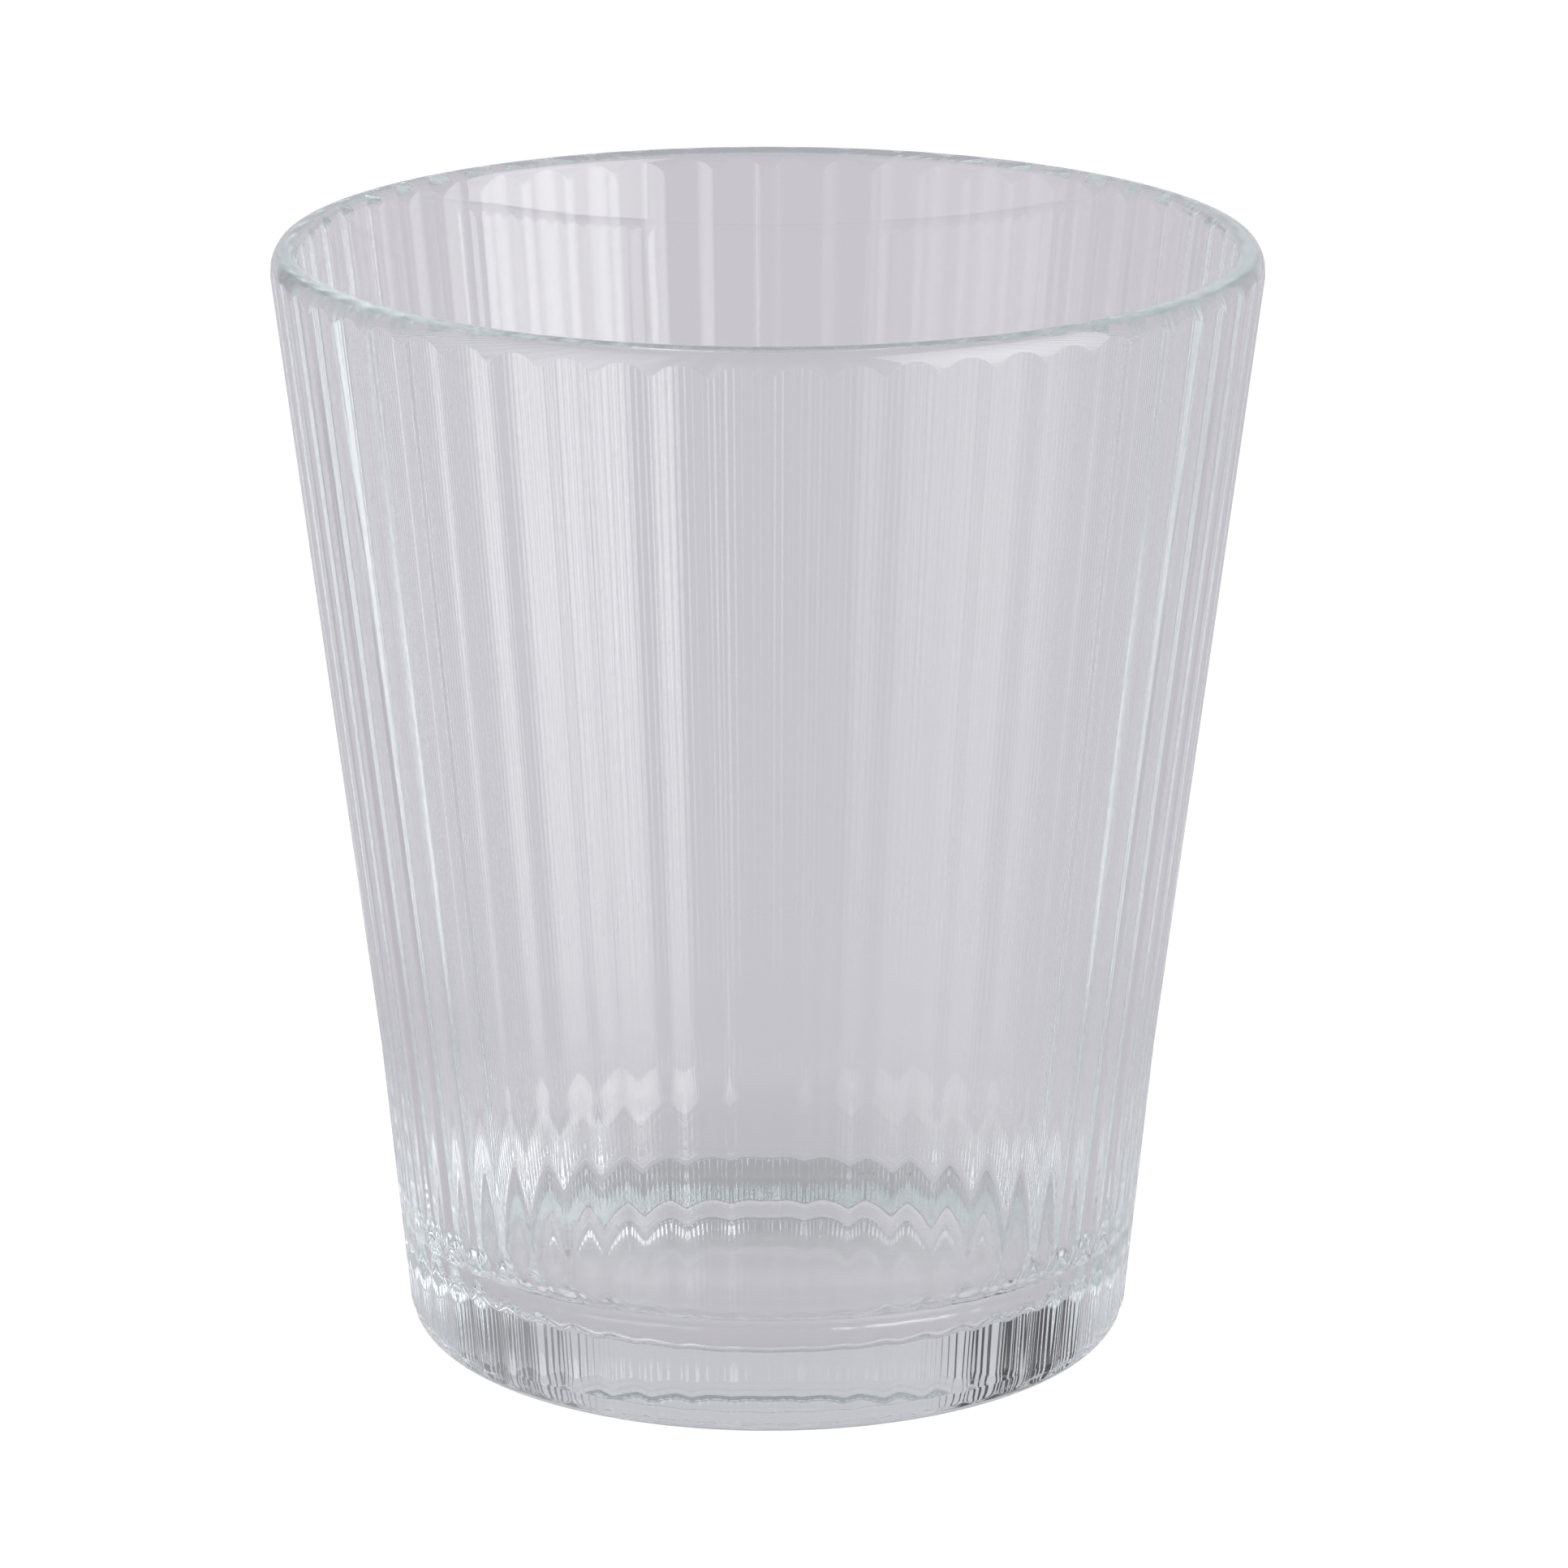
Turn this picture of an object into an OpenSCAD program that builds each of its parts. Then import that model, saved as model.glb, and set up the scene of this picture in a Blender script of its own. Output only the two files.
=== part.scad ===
// Fluted juice tumbler of clear pressed glass.
// The real glass is one pressing. Its foot, base, fluted wall and lip are drawn
// as four solids that meet on flat faces, and nothing on it moves.
// Origin: centre of the underside. +Z runs up the axis of the glass.

/* [Outside] */
// Outside diameter of the lip
rim_d = 80; // [72:1:96]
// Height from the table to the top of the lip
body_h = 91.2; // [75:0.2:120]
// Outside diameter at the knee, where the wall below turns a little steeper
knee_d = 64; // [61:0.5:72]
// Height of the knee
knee_h = 24.6; // [20:0.2:40]
// Outside diameter where the wall meets the rounded heel
heel_d = 59.8; // [58:0.2:63]
// Height of the rounded heel
heel_h = 3.2; // [2.4:0.1:6]
// Outside diameter of the foot on the table
foot_d = 55.6; // [50:0.2:58]

/* [Lip] */
// Thickness of the full-round lip
lip_t = 2.4; // [1.6:0.1:4]
// Height of the plain band between the lip's top and the flutes
lip_h = 2.2; // [2:0.1:6]

/* [Flutes] */
// Number of concave flutes round the outside, with narrow ridges between them
flute_count = 56; // [24:1:72]
// Depth of the flutes under the lip
flute_depth = 0.18; // [0.1:0.02:0.4]
// Depth of the flutes from the knee down
flute_low_depth = 0.1; // [0.06:0.02:0.2]
// Height at which the flutes run out on the heel
flute_end_h = 1.5; // [1.3:0.1:2.2]

/* [Cavity] */
// Wall thickness at the level of the cavity floor
wall_t = 3; // [2:0.1:5]
// Height of the cavity floor at its edge
floor_t = 5.5; // [5:0.1:9]
// Slope of the floor at its edge, in degrees; it dips in a shallow bowl
floor_tilt = 12.2; // [4:0.2:15]
// Radius of the inner corner between floor and wall
corner_r = 8.4; // [4:0.2:13]

/* [Underside] */
// Diameter of the shallow domed hollow inside the foot ring
dome_d = 38.4; // [30:0.4:48]
// Height of the dome above the table
dome_h = 0.8; // [0.2:0.1:1]

/* [Hidden] */
$fn = 128;

// How far a cut runs past the face it opens
overrun = 1;
// Straight facets across one flute
flute_steps = 4;
// Rings of points that follow the heel between the flutes' ends and its top
heel_steps = 3;
// Points along a drawn arc, and along the gentle arcs of floor and dome
arc_steps = 10;
bowl_steps = 4;
// Pale grey of the clear glass, seen against a light backdrop
glass_tone = [0.80, 0.81, 0.83, 0.55];

rim_r = rim_d / 2;
knee_r = knee_d / 2;
heel_r = heel_d / 2;
foot_r = foot_d / 2;
lip_r = lip_t / 2;
dome_r = dome_d / 2;
// Height of the centre of the lip's rounding, and of the ring under the lip
lip_mid_h = body_h - lip_r;
lip_foot_h = body_h - lip_h;
// Height of the ring where the wall stands on the base
base_top_h = floor_t + corner_r;
// First point of each ring: a ridge faces -Y
first_angle = -90;

// Share of the way from the knee up to the lip
function rise(z) = (z - knee_h) / (lip_mid_h - knee_h);

// Outside radius over the ridges, if the heel were not rounded
function crest_r(z) = z > knee_h
    ? knee_r + (rim_r - knee_r) * rise(z)
    : heel_r + (knee_r - heel_r) * (z - heel_h) / (knee_h - heel_h);

// Depth of the flutes at a height
function depth(z) =
    flute_low_depth + (flute_depth - flute_low_depth) * max(0, rise(z));

// Outside radius of the rounded heel, a quarter ellipse
function heel_curve_r(z) =
    foot_r + (heel_r - foot_r) * sqrt(1 - pow(max(0, heel_h - z) / heel_h, 2));

// The cavity's wall, straight from the level of its floor to the lip; a narrower
// knee draws it in, so that the wall there is as thick as the lip at least
floor_in_r = crest_r(floor_t) - wall_t;
lip_in_r = rim_r - lip_t;
straight_slope = (lip_in_r - floor_in_r) / (lip_mid_h - floor_t);
knee_straight_r = floor_in_r + straight_slope * (knee_h - floor_t);
knee_in_r = min(knee_straight_r, knee_r - lip_t);
in_slope = (knee_in_r - floor_in_r) / (knee_h - floor_t);
in_lean = atan(in_slope);
function cavity_r(z) = z > knee_h
    ? knee_in_r + (lip_in_r - knee_in_r) * rise(z)
    : floor_in_r + in_slope * (z - floor_t);

// Centre of the inner corner's arc, and the point where it runs into the floor
corner_c = [cavity_r(base_top_h) - corner_r / cos(in_lean), base_top_h];
floor_edge = corner_c + corner_r * [sin(floor_tilt), -cos(floor_tilt)];
// Radius and centre of the floor's bowl
bowl_r = floor_edge[0] / sin(floor_tilt);
bowl_c = [0, floor_edge[1] + bowl_r * cos(floor_tilt)];

// Half the angle that the dome spans, its radius and its centre
dome_turn = 2 * atan(dome_h / dome_r);
sphere_r = dome_r / sin(dome_turn);
sphere_c = [0, dome_h - sphere_r];

// Points of an arc about a centre, from one angle to another
function arc(centre, r, from, to, steps) =
    [for (k = [0:steps]) centre + r * [cos(from + (to - from) * k / steps),
                                       sin(from + (to - from) * k / steps)]];

// How far a flute is cut at point i of a ring: none on a ridge, all in the middle
function cut_share(i) = 1 - pow(2 * (i % flute_steps) / flute_steps - 1, 2);

// Radius of point i of the ring at a height: the flutes, or the heel inside them
function flute_r(z, i) = min(heel_curve_r(z) + max(0, crest_r(z) - heel_r),
                             crest_r(z) - depth(z) * cut_share(i));

// One fluted ring of points at a height
function flute_ring(z) =
    [for (i = [0:flute_count * flute_steps - 1])
        let (a = first_angle + 360 * i / (flute_count * flute_steps),
             r = flute_r(z, i))
        [r * cos(a), r * sin(a), z]];

// A closed fluted solid through rings at a stack of heights
module fluted(heights) {
    n = flute_count * flute_steps;
    last = len(heights) - 1;
    sides = [for (s = [0:last - 1], i = [0:n - 1])
        let (j = (i + 1) % n)
        [s * n + i, (s + 1) * n + i, (s + 1) * n + j, s * n + j]];
    polyhedron(
        points = [for (z = heights) each flute_ring(z)],
        faces = concat([[for (i = [0:n - 1]) i]], sides,
                       [[for (i = [n - 1:-1:0]) last * n + i]]));
}

// The drinking space, open through the lip
module cavity() {
    floor_points = arc(bowl_c, bowl_r, -90, floor_tilt - 90, bowl_steps);
    rotate_extrude()
        polygon(concat(
            [for (k = [0:bowl_steps - 1]) floor_points[k]],
            arc(corner_c, corner_r, floor_tilt - 90, -in_lean, arc_steps),
            knee_in_r < knee_straight_r ? [[knee_in_r, knee_h]] : [],
            [[lip_in_r, lip_mid_h],
             [lip_in_r, body_h + overrun],
             [0, body_h + overrun]]));
}

// The shallow hollow under the glass
module dome() {
    rotate_extrude()
        polygon(concat(
            [[0, -overrun], [dome_r, -overrun]],
            arc(sphere_c, sphere_r, 90 - dome_turn, 90, bowl_steps)));
}

// Plain foot under the flutes, rounded outside and a little hollow below
module foot() {
    color(glass_tone)
    difference() {
        rotate_extrude()
            polygon(concat(
                [[0, 0]],
                [for (k = [0:arc_steps])
                    let (z = flute_end_h * pow(k / arc_steps, 2))
                    [heel_curve_r(z), z]],
                [[0, flute_end_h]]));
        dome();
    }
}

// Thick bottom of the glass: the fluted heel outside, the rounded corner inside
module base() {
    heel_rise = heel_h - flute_end_h;
    color(glass_tone)
    difference() {
        fluted(concat([for (k = [0:heel_steps]) flute_end_h + heel_rise * k / heel_steps],
                      [base_top_h]));
        cavity();
    }
}

// Fluted side of the glass, from the base to the plain lip
module wall() {
    color(glass_tone)
    difference() {
        fluted([base_top_h, knee_h, lip_foot_h]);
        cavity();
    }
}

// Plain drinking edge: a short band that ends in a full round
module lip() {
    color(glass_tone)
    rotate_extrude()
        polygon(concat(
            [[cavity_r(lip_foot_h), lip_foot_h], [crest_r(lip_foot_h), lip_foot_h]],
            arc([rim_r - lip_r, lip_mid_h], lip_r, 0, 180, 2 * arc_steps)));
}

foot();
base();
wall();
lip();
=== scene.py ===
"""Fluted juice tumbler of clear pressed glass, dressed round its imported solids.

One continuous mesh stands for the four solids foot, base, wall and lip, because
the real glass is one pressing and light has to pass through it unbroken.
"""

import logging
import math
from collections.abc import Callable
from dataclasses import dataclass, field
from enum import Enum

import bmesh
import bpy
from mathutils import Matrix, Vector


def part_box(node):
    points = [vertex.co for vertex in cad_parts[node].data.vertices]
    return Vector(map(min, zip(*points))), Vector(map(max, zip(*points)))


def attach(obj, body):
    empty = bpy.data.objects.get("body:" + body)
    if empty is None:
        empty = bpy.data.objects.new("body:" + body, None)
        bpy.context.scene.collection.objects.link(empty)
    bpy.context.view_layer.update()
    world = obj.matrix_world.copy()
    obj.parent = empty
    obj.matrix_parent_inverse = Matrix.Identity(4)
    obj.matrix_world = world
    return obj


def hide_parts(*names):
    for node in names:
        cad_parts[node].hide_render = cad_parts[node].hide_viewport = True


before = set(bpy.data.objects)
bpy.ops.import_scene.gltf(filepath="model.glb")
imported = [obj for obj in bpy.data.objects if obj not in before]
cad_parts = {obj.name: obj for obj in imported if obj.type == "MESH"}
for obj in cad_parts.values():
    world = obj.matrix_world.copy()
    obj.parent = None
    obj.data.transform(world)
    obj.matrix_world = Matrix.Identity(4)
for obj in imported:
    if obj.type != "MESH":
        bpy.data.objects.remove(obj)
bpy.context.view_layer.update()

MM = 0.001
PHOTO_PX = 1932
HALVINGS = 50
WHITE = (1.0, 1.0, 1.0, 1.0)
# Numbers of a Mix node's sockets for colours
MIX_FIRST = 6
MIX_SECOND = 7
MIX_RESULT = 2

log = logging.getLogger("tumbler")

Point = tuple[float, float]


class Sight(Enum):
    """Kinds of ray, by the Light Path output that marks them."""

    CAMERA = "Is Camera Ray"
    GLOSSY = "Is Glossy Ray"
    TRANSMISSION = "Is Transmission Ray"


def linear(hex_colour: str) -> tuple[float, float, float, float]:
    """Turn an sRGB hex colour into linear red, green, blue and alpha.

    Args:
        hex_colour: Six hex digits after a hash sign.

    Returns:
        The linear colour, with full alpha.
    """
    parts = [int(hex_colour[i:i + 2], 16) / 255 for i in (1, 3, 5)]
    low = [c / 12.92 if c <= 0.04045 else ((c + 0.055) / 1.055) ** 2.4 for c in parts]
    return (low[0], low[1], low[2], 1.0)


def add_node(
    tree: bpy.types.NodeTree,
    kind: str,
    sockets: dict[str | int, object] | None = None,
    **settings: object,
) -> bpy.types.Node:
    """Add a shader node with its settings, values and links.

    Args:
        tree: Node tree that gets the node.
        kind: Type name of the node.
        sockets: Values, or output sockets to link, by input name or number.
        **settings: Attributes of the node, such as its operation.

    Returns:
        The new node.
    """
    node = tree.nodes.new(kind)
    for name, value in settings.items():
        setattr(node, name, value)
    for key, value in (sockets or {}).items():
        if isinstance(value, bpy.types.NodeSocket):
            tree.links.new(value, node.inputs[key])
        else:
            node.inputs[key].default_value = value
    return node


def blend(
    tree: bpy.types.NodeTree, factor: bpy.types.NodeSocket, first: object, second: object
) -> bpy.types.NodeSocket:
    """Mix two colours.

    Args:
        tree: Node tree to add to.
        factor: Socket with the share of the second colour.
        first: Colour, or socket with one, for a share of 0.
        second: Colour, or socket with one, for a share of 1.

    Returns:
        The socket with the mixed colour.
    """
    mix = add_node(
        tree, "ShaderNodeMix", {"Factor": factor, MIX_FIRST: first, MIX_SECOND: second},
        data_type="RGBA",
    )
    return mix.outputs[MIX_RESULT]


def product(
    tree: bpy.types.NodeTree, first: bpy.types.NodeSocket, second: object
) -> bpy.types.NodeSocket:
    """Multiply a socket's value.

    Args:
        tree: Node tree to add to.
        first: Socket with the value.
        second: Number, or socket with one, to multiply it by.

    Returns:
        The socket with the product.
    """
    return add_node(
        tree, "ShaderNodeMath", {0: first, 1: second}, operation="MULTIPLY"
    ).outputs[0]


def arc(centre: Point, radius: float, start: float, end: float, steps: int) -> list[Point]:
    """Points along an arc, both ends included.

    Args:
        centre: Radius and height of the arc's centre.
        radius: Radius of the arc.
        start: First angle, in radians, from the outward direction upwards.
        end: Last angle, in radians.
        steps: Number of equal steps.

    Returns:
        Points as radius and height.
    """
    angles = [start + (end - start) * k / steps for k in range(steps + 1)]
    return [(centre[0] + radius * math.cos(a), centre[1] + radius * math.sin(a)) for a in angles]


def spread(start: float, end: float, steps: int) -> list[float]:
    """Values from start to end in equal steps, both included."""
    return [start + (end - start) * k / steps for k in range(steps + 1)]


def crossing(low: float, high: float, gap: Callable[[float], float]) -> float:
    """Find where a gap that is negative at low first reaches zero, by halving.

    Args:
        low: End where the gap is negative or zero.
        high: End where it is positive.
        gap: Function to follow.

    Returns:
        The place of the change.
    """
    for _ in range(HALVINGS):
        middle = (low + high) / 2
        low, high = (low, middle) if gap(middle) > 0 else (middle, high)
    return low


@dataclass(frozen=True)
class PressedGlass:
    """Soda-lime glass, pressed in an iron mould and fire-polished.

    It is clear and sharp, with a green cast only where light travels far inside it.
    The fire polish leaves a slow waviness, so that reflections waver a little.
    """

    name: str = "pressed_soda_lime_glass"
    tint: str = "#FDFEFE"
    ior: float = 1.52
    cast: str = "#85AEAA"
    cast_per_metre: float = 3.0
    polish_low: float = 0.0
    polish_high: float = 0.015
    wave_size: float = 7 * MM
    wave_height: float = 0.012 * MM
    # Span of the waviness over which the polish goes from low to high
    wave_low: float = 0.35
    wave_high: float = 0.75

    def make(self) -> bpy.types.Material:
        """Build the material.

        Returns:
            The glass, with its polish, waviness and green cast.
        """
        material = bpy.data.materials.new(self.name)
        material.use_nodes = True
        tree = material.node_tree
        tree.nodes.clear()
        place = add_node(tree, "ShaderNodeTexCoord").outputs["Object"]
        wave = add_node(
            tree, "ShaderNodeTexNoise",
            {"Vector": place, "Scale": 1 / self.wave_size, "Detail": 0.0},
        )
        slow = add_node(
            tree, "ShaderNodeBump",
            {"Height": wave.outputs["Fac"], "Distance": self.wave_height, "Strength": 1.0},
        )
        polish = add_node(
            tree, "ShaderNodeMapRange",
            {
                "Value": wave.outputs["Fac"],
                "From Min": self.wave_low, "From Max": self.wave_high,
                "To Min": self.polish_low, "To Max": self.polish_high,
            },
        )
        surface = add_node(
            tree, "ShaderNodeBsdfPrincipled",
            {
                "Base Color": linear(self.tint),
                "IOR": self.ior,
                "Transmission Weight": 1.0,
                "Roughness": polish.outputs["Result"],
                "Normal": slow.outputs["Normal"],
            },
        )
        depth = add_node(
            tree, "ShaderNodeVolumeAbsorption",
            {"Color": linear(self.cast), "Density": self.cast_per_metre},
        )
        add_node(
            tree, "ShaderNodeOutputMaterial",
            {"Surface": surface.outputs["BSDF"], "Volume": depth.outputs["Volume"]},
        )
        return material


@dataclass
class Tumbler:
    """The glass: one closed mesh, spun from its outline flute by flute.

    The outside is a turned shape with a rounded lip and heel, cut by broad shallow
    flutes. Between two flutes stands a narrow rounded ridge, and the flutes run out
    in arches under the lip and low on the heel, just above the foot.
    """

    # Outside, over the ridges
    rim_r: float = 40.05 * MM
    rim_line_h: float = 90.0 * MM
    height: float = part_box("lip")[1][2]
    knee_r: float = 32.0 * MM
    knee_h: float = 24.6 * MM
    heel_r: float = 29.9 * MM
    heel_h: float = 3.2 * MM
    foot_r: float = 27.85 * MM
    # Lip: a small round inside and over the top, a wider one outside
    crown_r: float = 1.05 * MM
    shoulder_r: float = 2.8 * MM
    shoulder_end: float = math.radians(34)
    # Flutes, shallower from the knee down
    flute_count: int = 56
    flute_steps: int = 16
    flute_depth: float = 0.22 * MM
    flute_low_depth: float = 0.17 * MM
    ridge_share: float = 0.18
    # Arches in which the flutes run out above the foot: height in the middle of a
    # flute, rise to the ridge, and the height over which a flute gets its depth
    arch_h: float = 0.8 * MM
    arch_rise: float = 0.35 * MM
    arch_run: float = 0.5 * MM
    # Cavity
    wall_t: float = 3.0 * MM
    floor_t: float = 5.5 * MM
    floor_tilt: float = math.radians(12.2)
    corner_r: float = 8.4 * MM
    # Underside
    dome_r: float = 19.2 * MM
    dome_h: float = 0.05 * MM
    # Distance of the rows of points that keep a crease tight
    crease_row: float = 0.08 * MM
    # Steps along the outline: gentle arcs and full rounds, the heel below and above
    # its arches, the wall below and above the knee, and the inner wall
    arc_steps: int = 8
    round_steps: int = 16
    foot_steps: int = 5
    heel_steps: int = 7
    low_wall_steps: int = 4
    high_wall_steps: int = 6
    in_wall_steps: int = 6
    # Points closer than this are welded, and shorter moves than this are left out
    weld_gap: float = 0.002 * MM
    least_move: float = 0.0001 * MM
    finish: PressedGlass = field(default_factory=PressedGlass)

    def crest(self, z: float) -> float:
        """Outside radius over the ridges at a height, without lip and heel."""
        if z < self.knee_h:
            share = (z - self.heel_h) / (self.knee_h - self.heel_h)
            return self.heel_r + (self.knee_r - self.heel_r) * share
        share = (z - self.knee_h) / (self.rim_line_h - self.knee_h)
        return self.knee_r + (self.rim_r - self.knee_r) * share

    def ridge(self, t: float) -> float:
        """How far the wall stands out between a flute's middle and a ridge.

        Args:
            t: Distance from the ridge, in pitches, up to a half.

        Returns:
            1 on the ridge and 0 in the middle of the flute.
        """
        if t < self.ridge_share:
            return 1 - 2 * t * t / self.ridge_share
        return (1 - 2 * t) ** 2 / (1 - 2 * self.ridge_share)

    def fluted(self, z: float, t: float) -> float:
        """Outside radius at a height and a distance from a ridge, without lip and heel."""
        share = max((z - self.knee_h) / (self.rim_line_h - self.knee_h), 0.0)
        depth = self.flute_low_depth + (self.flute_depth - self.flute_low_depth) * share
        return self.crest(z) - depth * (1 - self.ridge(t))

    def heel(self, t: float) -> list[Point]:
        """Outline of the heel, a quarter ellipse that the flutes follow down to low arches.

        Args:
            t: Distance from a ridge, in pitches.

        Returns:
            The points, from the foot up to the wall.
        """
        cut = self.flute_low_depth * (1 - self.ridge(t))
        arch_z = self.arch_h + self.arch_rise * self.ridge(t)

        def plain(a: float) -> Point:
            grow = (self.heel_r - self.foot_r) * math.sin(a)
            return (self.foot_r + grow, self.heel_h * (1 - math.cos(a)))

        def point(a: float) -> Point:
            r, z = plain(a)
            run = min(max((z - arch_z) / self.arch_run, 0.0), 1.0)
            return (r - cut * run * (2 - run), z)

        end = crossing(0.0, math.pi / 2, lambda a: plain(a)[0] - self.crest(plain(a)[1]))
        arch = math.acos(1 - arch_z / self.heel_h)
        near = self.crease_row / self.heel_h
        below = spread(0, arch - near, self.foot_steps)
        above = spread(arch + near, end - near, self.heel_steps)
        return [point(a) for a in below + [arch] + above + [end]]

    def lip(self, t: float) -> tuple[list[Point], float]:
        """Outline of the lip, from where the flutes cut it, over the top, to the inner wall.

        Args:
            t: Distance from a ridge, in pitches.

        Returns:
            The points, and the inner wall's lean from upright in radians.
        """
        lean = math.atan((self.rim_r - self.knee_r) / (self.rim_line_h - self.knee_h))
        grow = self.shoulder_r - self.crown_r
        crown_z = self.height - self.crown_r
        shoulder_z = crown_z - grow * math.sin(self.shoulder_end)
        start_z = shoulder_z - self.shoulder_r * math.sin(lean)
        shoulder_x = self.crest(start_z) - self.shoulder_r * math.cos(lean)
        crown_x = shoulder_x + grow * math.cos(self.shoulder_end)
        floor_in_r = self.crest(self.floor_t) - self.wall_t
        in_lean = math.atan((crown_x - self.crown_r - floor_in_r) / (crown_z - self.floor_t))

        def clear(a: float) -> float:
            z = shoulder_z + self.shoulder_r * math.sin(a)
            return self.fluted(z, t) - shoulder_x - self.shoulder_r * math.cos(a)

        cut = crossing(-lean, self.shoulder_end, clear)
        tight = cut + self.crease_row / self.shoulder_r
        shoulder = (shoulder_x, shoulder_z)
        first = arc(shoulder, self.shoulder_r, cut, tight, 1)
        outer = arc(shoulder, self.shoulder_r, tight, self.shoulder_end, self.arc_steps)
        crown = (crown_x, crown_z)
        inside = math.pi - in_lean
        over = arc(crown, self.crown_r, self.shoulder_end, inside, self.round_steps)
        return first + outer[1:] + over[1:], in_lean

    def cavity(self, top: Point, in_lean: float) -> list[Point]:
        """Outline of the inside, from below the lip to the axis.

        Args:
            top: Point where the inner wall starts under the lip.
            in_lean: Lean of the inner wall from upright, in radians.

        Returns:
            The points, the last on the axis.
        """
        corner_z = self.floor_t + self.corner_r
        wall_r = top[0] - (top[1] - corner_z) * math.tan(in_lean)
        corner_x = wall_r - self.corner_r / math.cos(in_lean)
        low = self.floor_tilt - math.pi / 2
        turn = arc((corner_x, corner_z), self.corner_r, -in_lean, low, self.round_steps)
        wall = [
            (top[0] + (turn[0][0] - top[0]) * s, top[1] + (turn[0][1] - top[1]) * s)
            for s in spread(0, 1, self.in_wall_steps)[1:-1]
        ]
        edge_r, edge_z = turn[-1]
        bowl_r = edge_r / math.sin(self.floor_tilt)
        bowl = (0.0, edge_z + bowl_r * math.cos(self.floor_tilt))
        return wall + turn + arc(bowl, bowl_r, low, -math.pi / 2, self.arc_steps)[1:]

    def outline(self, t: float) -> list[Point]:
        """Whole half outline, from the axis below to the axis inside.

        Args:
            t: Distance from a ridge, in pitches.

        Returns:
            The points, as many for every distance.
        """
        lip, in_lean = self.lip(t)
        heel = self.heel(t)
        dome_turn = 2 * math.atan(self.dome_h / self.dome_r)
        sphere_r = self.dome_r / math.sin(dome_turn)
        rise = math.pi / 2 - dome_turn
        near = self.crease_row / sphere_r
        centre = (0.0, self.dome_h - sphere_r)
        dome = arc(centre, sphere_r, math.pi / 2, rise + near, self.arc_steps)
        ring = [
            (self.dome_r, 0.0),
            (self.dome_r + self.crease_row, 0.0),
            (self.foot_r - self.crease_row, 0.0),
        ]
        low_rows = spread(heel[-1][1] + self.crease_row, self.knee_h, self.low_wall_steps)
        high_rows = spread(self.knee_h, lip[0][1] - self.crease_row, self.high_wall_steps)[1:]
        wall = [(self.fluted(z, t), z) for z in low_rows + high_rows]
        return dome + ring + heel + wall + lip + self.cavity(lip[-1], in_lean)

    def build(self) -> bpy.types.Object:
        """Model the glass: trace its outline, spin one flute, cut it, repeat it round.

        Returns:
            The finished mesh object.
        """
        outline = self.outline(0.0)
        deselect_everything()
        bpy.ops.mesh.primitive_plane_add(size=MM, location=(0, 0, outline[0][1]))
        glass = bpy.context.active_object
        glass.name = "glass"
        bpy.ops.object.transform_apply(location=True)
        bpy.ops.object.mode_set(mode="EDIT")
        bpy.ops.mesh.merge(type="CENTER")
        for (r0, z0), (r1, z1) in zip(outline, outline[1:]):
            step = (0, r0 - r1, z1 - z0)
            bpy.ops.mesh.extrude_region_move(TRANSFORM_OT_translate={"value": step})
        pitch = 2 * math.pi / self.flute_count
        bpy.ops.mesh.select_all(action="SELECT")
        bpy.ops.mesh.spin(
            steps=self.flute_steps, angle=pitch, center=(0, 0, 0), axis=(0, 0, 1)
        )
        self.cut_flute(glass, pitch)
        bpy.ops.mesh.select_all(action="SELECT")
        bpy.ops.mesh.spin(
            steps=self.flute_count - 1, dupli=True, angle=pitch * (self.flute_count - 1),
            center=(0, 0, 0), axis=(0, 0, 1),
        )
        bpy.ops.mesh.select_all(action="SELECT")
        bpy.ops.mesh.remove_doubles(threshold=self.weld_gap)
        bpy.ops.mesh.normals_make_consistent(inside=False)
        bpy.ops.object.mode_set(mode="OBJECT")
        bpy.ops.object.shade_smooth()
        return glass

    def cut_flute(self, glass: bpy.types.Object, pitch: float) -> None:
        """Move the points between two ridges from the ridge's outline to the flute's.

        Args:
            glass: Object in edit mode that holds one spun pitch.
            pitch: Angle between two ridges.
        """
        ridge = self.outline(0.0)
        places: dict[tuple[int, int], list[int]] = {}
        for vert in bmesh.from_edit_mesh(glass.data).verts:
            r, z = math.hypot(vert.co.x, vert.co.y), vert.co.z
            turn = abs(math.atan2(vert.co.x, -vert.co.y)) / pitch * self.flute_steps
            column = round(min(turn, self.flute_steps - turn))
            row = min(range(len(ridge)), key=lambda i: math.dist(ridge[i], (r, z)))
            places.setdefault((column, row), []).append(vert.index)
        for column in range(1, self.flute_steps // 2 + 1):
            for row, (r, z) in enumerate(self.outline(column / self.flute_steps)):
                if math.dist(ridge[row], (r, z)) > self.least_move:
                    select_points(glass, places[(column, row)])
                    factor = r / ridge[row][0]
                    bpy.ops.transform.resize(
                        value=(factor, factor, 1.0), center_override=(0, 0, 0)
                    )
                    bpy.ops.transform.translate(value=(0, 0, z - ridge[row][1]))

    def dress(self, glass: bpy.types.Object) -> None:
        """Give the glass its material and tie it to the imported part."""
        glass.data.materials.clear()
        glass.data.materials.append(self.finish.make())
        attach(glass, "root")
        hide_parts("foot", "base", "wall", "lip")


def deselect_everything() -> None:
    """Deselect all objects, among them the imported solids."""
    bpy.ops.object.select_all(action="DESELECT")


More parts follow.
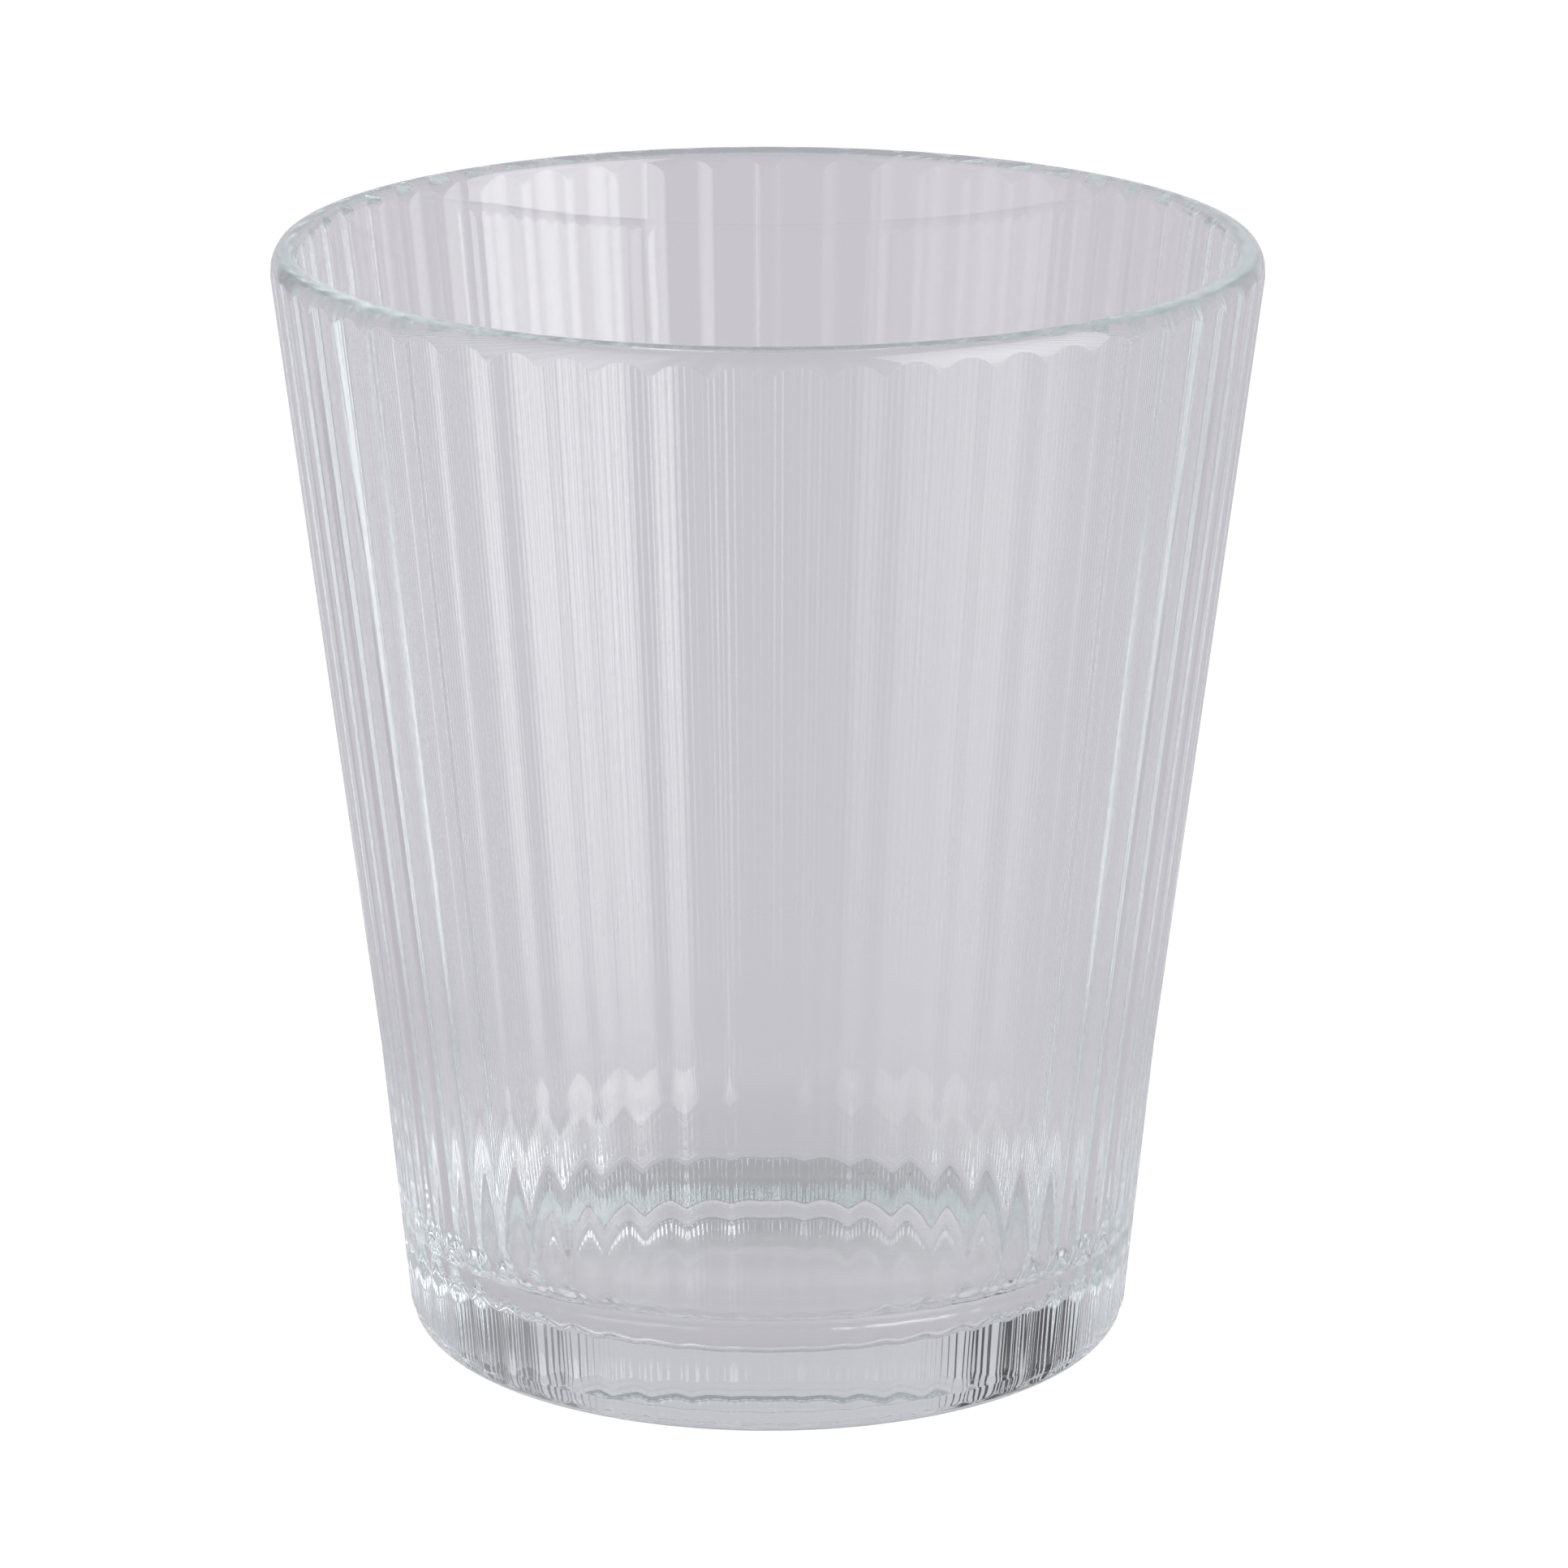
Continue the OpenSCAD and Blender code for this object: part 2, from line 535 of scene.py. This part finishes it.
def select_points(piece: bpy.types.Object, numbers: list[int]) -> None:
    """Select just the numbered points of an object in edit mode.

    Args:
        piece: Object in edit mode.
        numbers: Numbers of the points.
    """
    bpy.ops.mesh.select_all(action="DESELECT")
    mesh = bmesh.from_edit_mesh(piece.data)
    mesh.verts.ensure_lookup_table()
    for number in numbers:
        mesh.verts[number].select_set(True)
    mesh.select_flush_mode()
    bmesh.update_edit_mesh(piece.data)


@dataclass(frozen=True)
class Softbox:
    """A rectangular lamp that faces the glass, brightest in its middle.

    The azimuth is seen from above, from the camera's side towards +X. Angles are in
    degrees, and the spread is the angle in which the lamp shines.
    """

    name: str
    azimuth: float
    elevation: float
    distance: float
    width: float
    height: float
    radiance: float
    spread: float = 90.0
    colour: str = "#FFFFFF"

    def build(self) -> bpy.types.Object:
        """Add the lamp, out of the camera's sight.

        Returns:
            The lamp object.
        """
        turn, rise = math.radians(self.azimuth), math.radians(self.elevation)
        towards = Vector(
            (math.sin(turn) * math.cos(rise), -math.cos(turn) * math.cos(rise), math.sin(rise))
        )
        bpy.ops.object.light_add(type="AREA", location=towards * self.distance)
        lamp = bpy.context.active_object
        lamp.name = self.name
        lamp.rotation_euler = towards.to_track_quat("Z", "Y").to_euler()
        lamp.data.shape = "RECTANGLE"
        lamp.data.size = self.width
        lamp.data.size_y = self.height
        lamp.data.spread = math.radians(self.spread)
        lamp.data.color = linear(self.colour)[:3]
        lamp.data.energy = self.radiance * self.width * self.height * math.pi
        lamp.visible_camera = False
        return lamp


@dataclass
class Studio:
    """Pale table and sweep, lamps and camera."""

    # Room
    sweep_grey: str = "#D1CED4"
    ceiling_grey: str = "#A9A8AC"
    gap_grey: str = "#1E1C1C"
    # Table, as the camera sees it and as the glass does
    table_white: str = "#F4F4F6"
    table_grey: str = "#AFAEB3"
    table_size: float = 1.6
    table_gap: float = 0.05 * MM
    table_ior: float = 1.5
    table_polish: float = 0.2
    shadow_share: float = 0.2
    white_level: float = 1.18
    # Where the sweep ends and the ceiling starts, as the sine of the angle upwards
    sweep_rise: float = 0.42
    ceiling_rise: float = 0.58
    # Dark gaps behind the glass, as the share of a direction that points sideways
    gap_start: float = 0.40
    gap_full: float = 0.52
    gap_end: float = 0.60
    gap_stop: float = 0.72
    right_gap_share: float = 0.6
    # Camera, fitted to the photograph; its rise is in radians, its lens in pixels
    camera_range: float = 597.4 * MM
    camera_rise: float = 0.279
    aim_h: float = 48.0 * MM
    focal_px: float = 8984.3
    axis_px: Point = (946.0, 933.56)
    sensor: float = 36.0
    clip_start: float = 10 * MM
    # Times that light may turn inside the glass and on mirroring faces
    glass_bounces: int = 512
    mirror_bounces: int = 256

    def softboxes(self) -> list[Softbox]:
        """The lamps: a large one on the right and a weaker one on the left."""
        return [
            Softbox(
                "right_softbox", azimuth=57, elevation=18, distance=1.0,
                width=0.95, height=1.1, radiance=1.05,
            ),
            Softbox(
                "left_softbox", azimuth=-56, elevation=22, distance=1.0,
                width=1.0, height=1.0, radiance=0.34,
            ),
        ]

    def sees(self, tree: bpy.types.NodeTree, *kinds: Sight) -> bpy.types.NodeSocket:
        """Add up the Light Path marks of some kinds of ray.

        Args:
            tree: Node tree to add to.
            *kinds: Kinds of ray.

        Returns:
            A socket that is 1 for those rays and 0 for others.
        """
        path = add_node(tree, "ShaderNodeLightPath")
        total = path.outputs[kinds[0].value]
        for kind in kinds[1:]:
            total = add_node(
                tree, "ShaderNodeMath", {0: total, 1: path.outputs[kind.value]},
                operation="ADD", use_clamp=True,
            ).outputs[0]
        return total

    def table_finish(self) -> bpy.types.Material:
        """Build the table's material, white to the camera and pale grey to the glass.

        Returns:
            The material, which mirrors the room only to rays that met the glass.
        """
        material = bpy.data.materials.new("pale_table")
        material.use_nodes = True
        tree = material.node_tree
        tree.nodes.clear()
        camera = self.sees(tree, Sight.CAMERA)
        through = self.sees(tree, Sight.GLOSSY, Sight.TRANSMISSION)
        tone = blend(tree, camera, linear(self.table_grey), linear(self.table_white))
        lit = add_node(tree, "ShaderNodeBsdfDiffuse", {"Color": tone})
        bright = (self.white_level,) * 3 + (1.0,)
        glow = blend(tree, camera, linear(self.sweep_grey), bright)
        even = add_node(tree, "ShaderNodeEmission", {"Color": glow})
        seen = self.sees(tree, Sight.CAMERA, Sight.GLOSSY, Sight.TRANSMISSION)
        mixed = add_node(
            tree, "ShaderNodeMixShader",
            {
                0: product(tree, seen, 1 - self.shadow_share),
                1: lit.outputs[0],
                2: even.outputs[0],
            },
        )
        gloss = add_node(
            tree, "ShaderNodeBsdfGlossy", {"Color": WHITE, "Roughness": self.table_polish}
        )
        slant = add_node(tree, "ShaderNodeFresnel", {"IOR": self.table_ior})
        polished = add_node(
            tree, "ShaderNodeMixShader",
            {
                0: product(tree, slant.outputs[0], through),
                1: mixed.outputs[0],
                2: gloss.outputs[0],
            },
        )
        add_node(tree, "ShaderNodeOutputMaterial", {"Surface": polished.outputs[0]})
        return material

    def table(self) -> bpy.types.Object:
        """Add the table under the glass.

        Returns:
            The table.
        """
        deselect_everything()
        bpy.ops.mesh.primitive_plane_add(size=self.table_size, location=(0, 0, -self.table_gap))
        table = bpy.context.active_object
        table.name = "table"
        table.data.materials.append(self.table_finish())
        return table

    def dark_gaps(self, tree: bpy.types.NodeTree, way: bpy.types.Node) -> bpy.types.NodeSocket:
        """Mark two dark gaps low behind the glass, the right one weaker.

        Args:
            tree: Node tree of the world.
            way: Node that splits a direction into X, Y and Z.

        Returns:
            A socket that is 1 in the left gap, less in the right one and 0 elsewhere.
        """
        aside = add_node(tree, "ShaderNodeMath", {0: way.outputs["X"]}, operation="ABSOLUTE")
        dark = add_node(
            tree, "ShaderNodeMath", {0: way.outputs["Y"], 1: 0.0}, operation="GREATER_THAN"
        ).outputs[0]
        edges = [
            (aside.outputs[0], self.gap_start, self.gap_full, 0.0),
            (aside.outputs[0], self.gap_stop, self.gap_end, 0.0),
            (way.outputs["Z"], self.ceiling_rise, self.sweep_rise, 0.0),
            (way.outputs["X"], self.gap_start, -self.gap_start, self.right_gap_share),
        ]
        for value, outside, inside, least in edges:
            edge = add_node(
                tree, "ShaderNodeMapRange",
                {"Value": value, "From Min": outside, "From Max": inside, "To Min": least},
                interpolation_type="SMOOTHSTEP",
            )
            dark = product(tree, dark, edge.outputs[0])
        return dark

    def room(self) -> None:
        """Set the world: white to the camera, a sweep, ceiling and dark gaps to the rest."""
        world = bpy.data.worlds.new("studio")
        bpy.context.scene.world = world
        world.use_nodes = True
        tree = world.node_tree
        tree.nodes.clear()
        place = add_node(tree, "ShaderNodeTexCoord").outputs["Generated"]
        way = add_node(tree, "ShaderNodeSeparateXYZ", {0: place})
        dark = self.dark_gaps(tree, way)
        above = add_node(
            tree, "ShaderNodeMapRange",
            {
                "Value": way.outputs["Z"],
                "From Min": self.sweep_rise,
                "From Max": self.ceiling_rise,
            },
            interpolation_type="SMOOTHSTEP",
        )
        walls = blend(
            tree, above.outputs[0], linear(self.sweep_grey), linear(self.ceiling_grey)
        )
        tone = blend(tree, dark, walls, linear(self.gap_grey))
        soft = add_node(tree, "ShaderNodeBackground", {"Color": tone})
        white = add_node(tree, "ShaderNodeBackground", {"Color": WHITE})
        mixed = add_node(
            tree, "ShaderNodeMixShader",
            {0: self.sees(tree, Sight.CAMERA), 1: soft.outputs[0], 2: white.outputs[0]},
        )
        add_node(tree, "ShaderNodeOutputWorld", {"Surface": mixed.outputs[0]})

    def camera(self) -> bpy.types.Object:
        """Add the camera where the photograph was taken from.

        Returns:
            The camera, set as the scene's own.
        """
        back = Vector((0, -math.cos(self.camera_rise), math.sin(self.camera_rise)))
        bpy.ops.object.camera_add(location=Vector((0, 0, self.aim_h)) + back * self.camera_range)
        camera = bpy.context.active_object
        camera.name = "viewpoint"
        camera.rotation_euler = (math.pi / 2 - self.camera_rise, 0, 0)
        camera.data.sensor_width = self.sensor
        camera.data.lens = self.focal_px / PHOTO_PX * self.sensor
        camera.data.shift_x = 0.5 - self.axis_px[0] / PHOTO_PX
        camera.data.shift_y = self.axis_px[1] / PHOTO_PX - 0.5
        camera.data.clip_start = self.clip_start
        bpy.context.scene.camera = camera
        return camera

    def build(self) -> None:
        """Set up the camera, table, room and lamps, and let light pass the whole glass."""
        self.camera()
        self.table()
        self.room()
        for softbox in self.softboxes():
            softbox.build()
        scene = bpy.context.scene
        scene.view_settings.view_transform = "Standard"
        scene.cycles.max_bounces = self.glass_bounces
        scene.cycles.transmission_bounces = self.glass_bounces
        scene.cycles.glossy_bounces = self.mirror_bounces


def main() -> None:
    """Build the studio and the glass, and report each piece."""
    logging.basicConfig(level=logging.INFO, format="%(name)s: %(message)s")
    Studio().build()
    tumbler = Tumbler()
    glass = tumbler.build()
    tumbler.dress(glass)
    points, faces = len(glass.data.vertices), len(glass.data.polygons)
    log.info("%s: %d points, %d faces", glass.name, points, faces)


if __name__ == "__main__":
    main()
